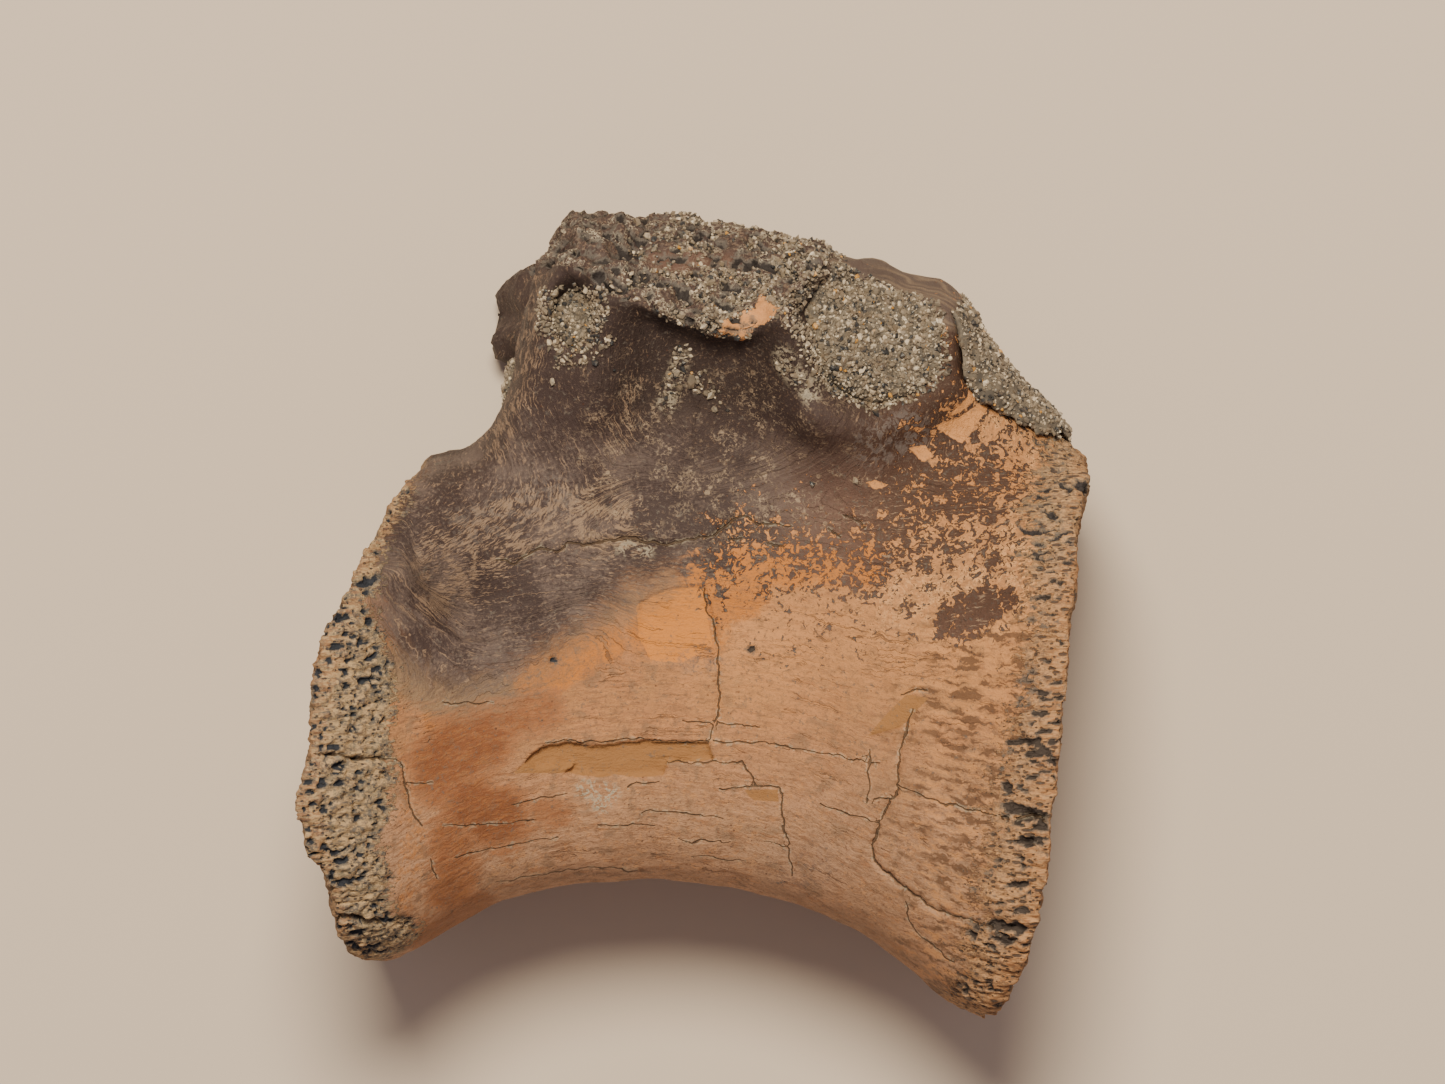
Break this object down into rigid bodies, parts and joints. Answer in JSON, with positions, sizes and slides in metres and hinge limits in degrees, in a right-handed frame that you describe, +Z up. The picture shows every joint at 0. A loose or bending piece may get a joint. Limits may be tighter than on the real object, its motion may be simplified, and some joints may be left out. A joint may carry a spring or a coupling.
{
  "type": "fossil dinosaur vertebra",
  "caption": "Fossil dinosaur back vertebra lying on its side: waisted centrum, worn spongy rims and a broken neural arch with grey sandstone in its hollows.",
  "frame": {"origin": "on the surface that the bone lies on, below the middle of its outline", "axes": "+X along the centrum from its front end to its back end, +Y dorsal, towards the neural arch, +Z up through the left flank"},
  "size_m": [0.0782, 0.0812, 0.05],
  "materials": {
    "fossil_bone": "fossil bone, tan to orange below and dark brown above, satin, with fine fibres, cracks and spongy worn rims",
    "sandstone": "rough grey sandstone of single pale and dark grains"
  },
  "bodies": {
    "root": {"vertebra_bone": "fossil_bone", "sandstone_front_fossa": "sandstone", "sandstone_back_fossa": "sandstone", "sandstone_far_fossa": "sandstone", "sandstone_canal": "sandstone"}
  },
  "joints": []
}
